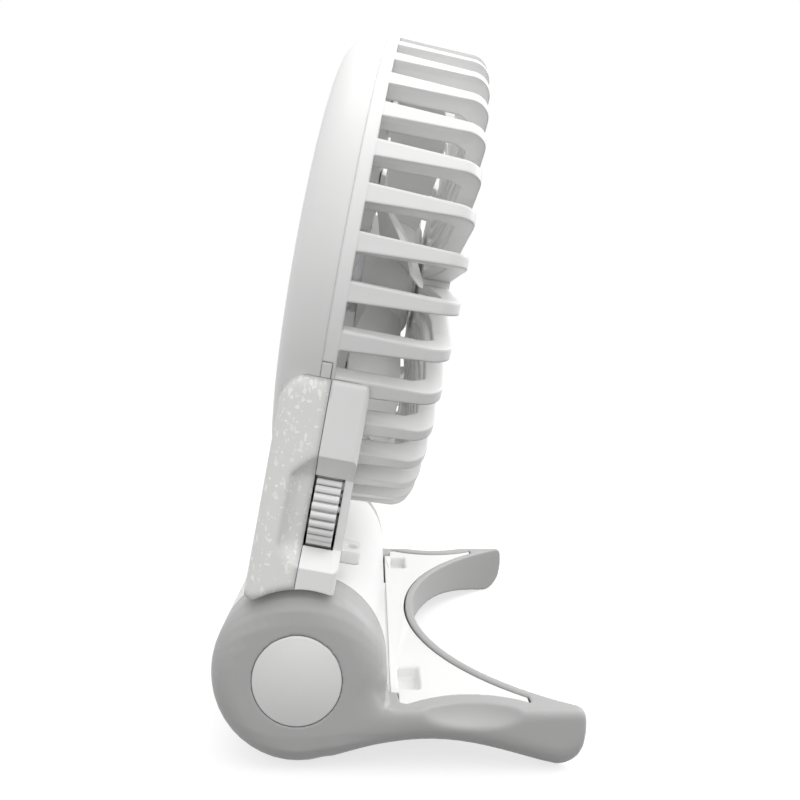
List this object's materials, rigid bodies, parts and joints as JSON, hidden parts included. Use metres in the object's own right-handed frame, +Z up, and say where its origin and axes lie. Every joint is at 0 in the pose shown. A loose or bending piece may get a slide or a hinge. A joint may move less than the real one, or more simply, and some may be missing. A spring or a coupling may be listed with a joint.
{
  "type": "portable camping fan",
  "caption": "Cordless table fan with a ribbed drum on a flat neck that tilts and folds onto a U-shaped foot, with a thumbwheel for speed.",
  "frame": {"origin": "under the middle of the fan's box, on the table", "axes": "+X the way the air blows, +Y to the fan's left, +Z up"},
  "size_m": [0.0944, 0.149, 0.2026],
  "materials": {
    "white_plastic": "satin moulded plastic",
    "speckled_cover": "moulded plastic with small pale flecks",
    "grey_base": "satin moulded plastic",
    "cap_grey": "satin",
    "foot_pad": "soft matt",
    "washer_fibre": "matt fibre",
    "screw_steel": "plated steel",
    "pin_steel": "turned steel",
    "motor_steel": "drawn steel can",
    "cell_case": "sleeved cell",
    "dark_plastic": "moulded plastic",
    "contact_brass": "plated spring brass",
    "board_green": "coated circuit board",
    "socket_steel": "formed steel shell",
    "light_pipe": "clear-cast light pipe",
    "blade_plastic": "moulded plastic",
    "wheel_plastic": "ridged moulded plastic"
  },
  "bodies": {
    "base": {"base_frame": "grey_base", "base_top_plate": "white_plastic", "base_plate_screws": "screw_steel", "rear_feet": "foot_pad", "left_hinge_cap": "cap_grey", "right_hinge_cap": "cap_grey", "friction_washers": "washer_fibre"},
    "head": {"neck_front_shell": "white_plastic", "neck_rear_cover": "speckled_cover", "neck_screws": "screw_steel", "left_hinge_pin": "pin_steel", "right_hinge_pin": "pin_steel", "hinge_screws": "screw_steel", "battery_cells": "cell_case", "battery_holder": "dark_plastic", "battery_contacts": "contact_brass", "dial_board": "board_green", "dial_sensor": "dark_plastic", "charging_board": "board_green", "usb_socket": "socket_steel", "charge_light": "light_pipe", "rear_housing": "white_plastic", "rear_centre_cap": "white_plastic", "front_grille": "white_plastic", "grille_badge": "white_plastic", "grille_latches": "white_plastic", "motor_can": "motor_steel", "motor_end_plate": "dark_plastic", "motor_bushes": "contact_brass", "motor_screws": "screw_steel"},
    "rotor": {"impeller": "blade_plastic", "motor_shaft": "pin_steel"},
    "dial": {"speed_wheel": "wheel_plastic", "wheel_shaft": "pin_steel"}
  },
  "joints": [
    {"name": "tilt", "type": "hinge", "parent": "base", "child": "head", "pos_m": [-0.0248, 0, 0.0229], "axis": [0, 1, 0], "range_deg": [-100.3, 79.7]},
    {"name": "fan_spin", "type": "hinge", "parent": "head", "child": "rotor", "pos_m": [-0.00579, 0, 0.12749], "axis": [0.9839, 0, -0.1788], "continuous": true},
    {"name": "speed_dial", "type": "hinge", "parent": "head", "child": "dial", "pos_m": [-0.01745, -0.05751, 0.06334], "axis": [0.9839, 0, -0.1788], "range_deg": [0, 270]}
  ]
}
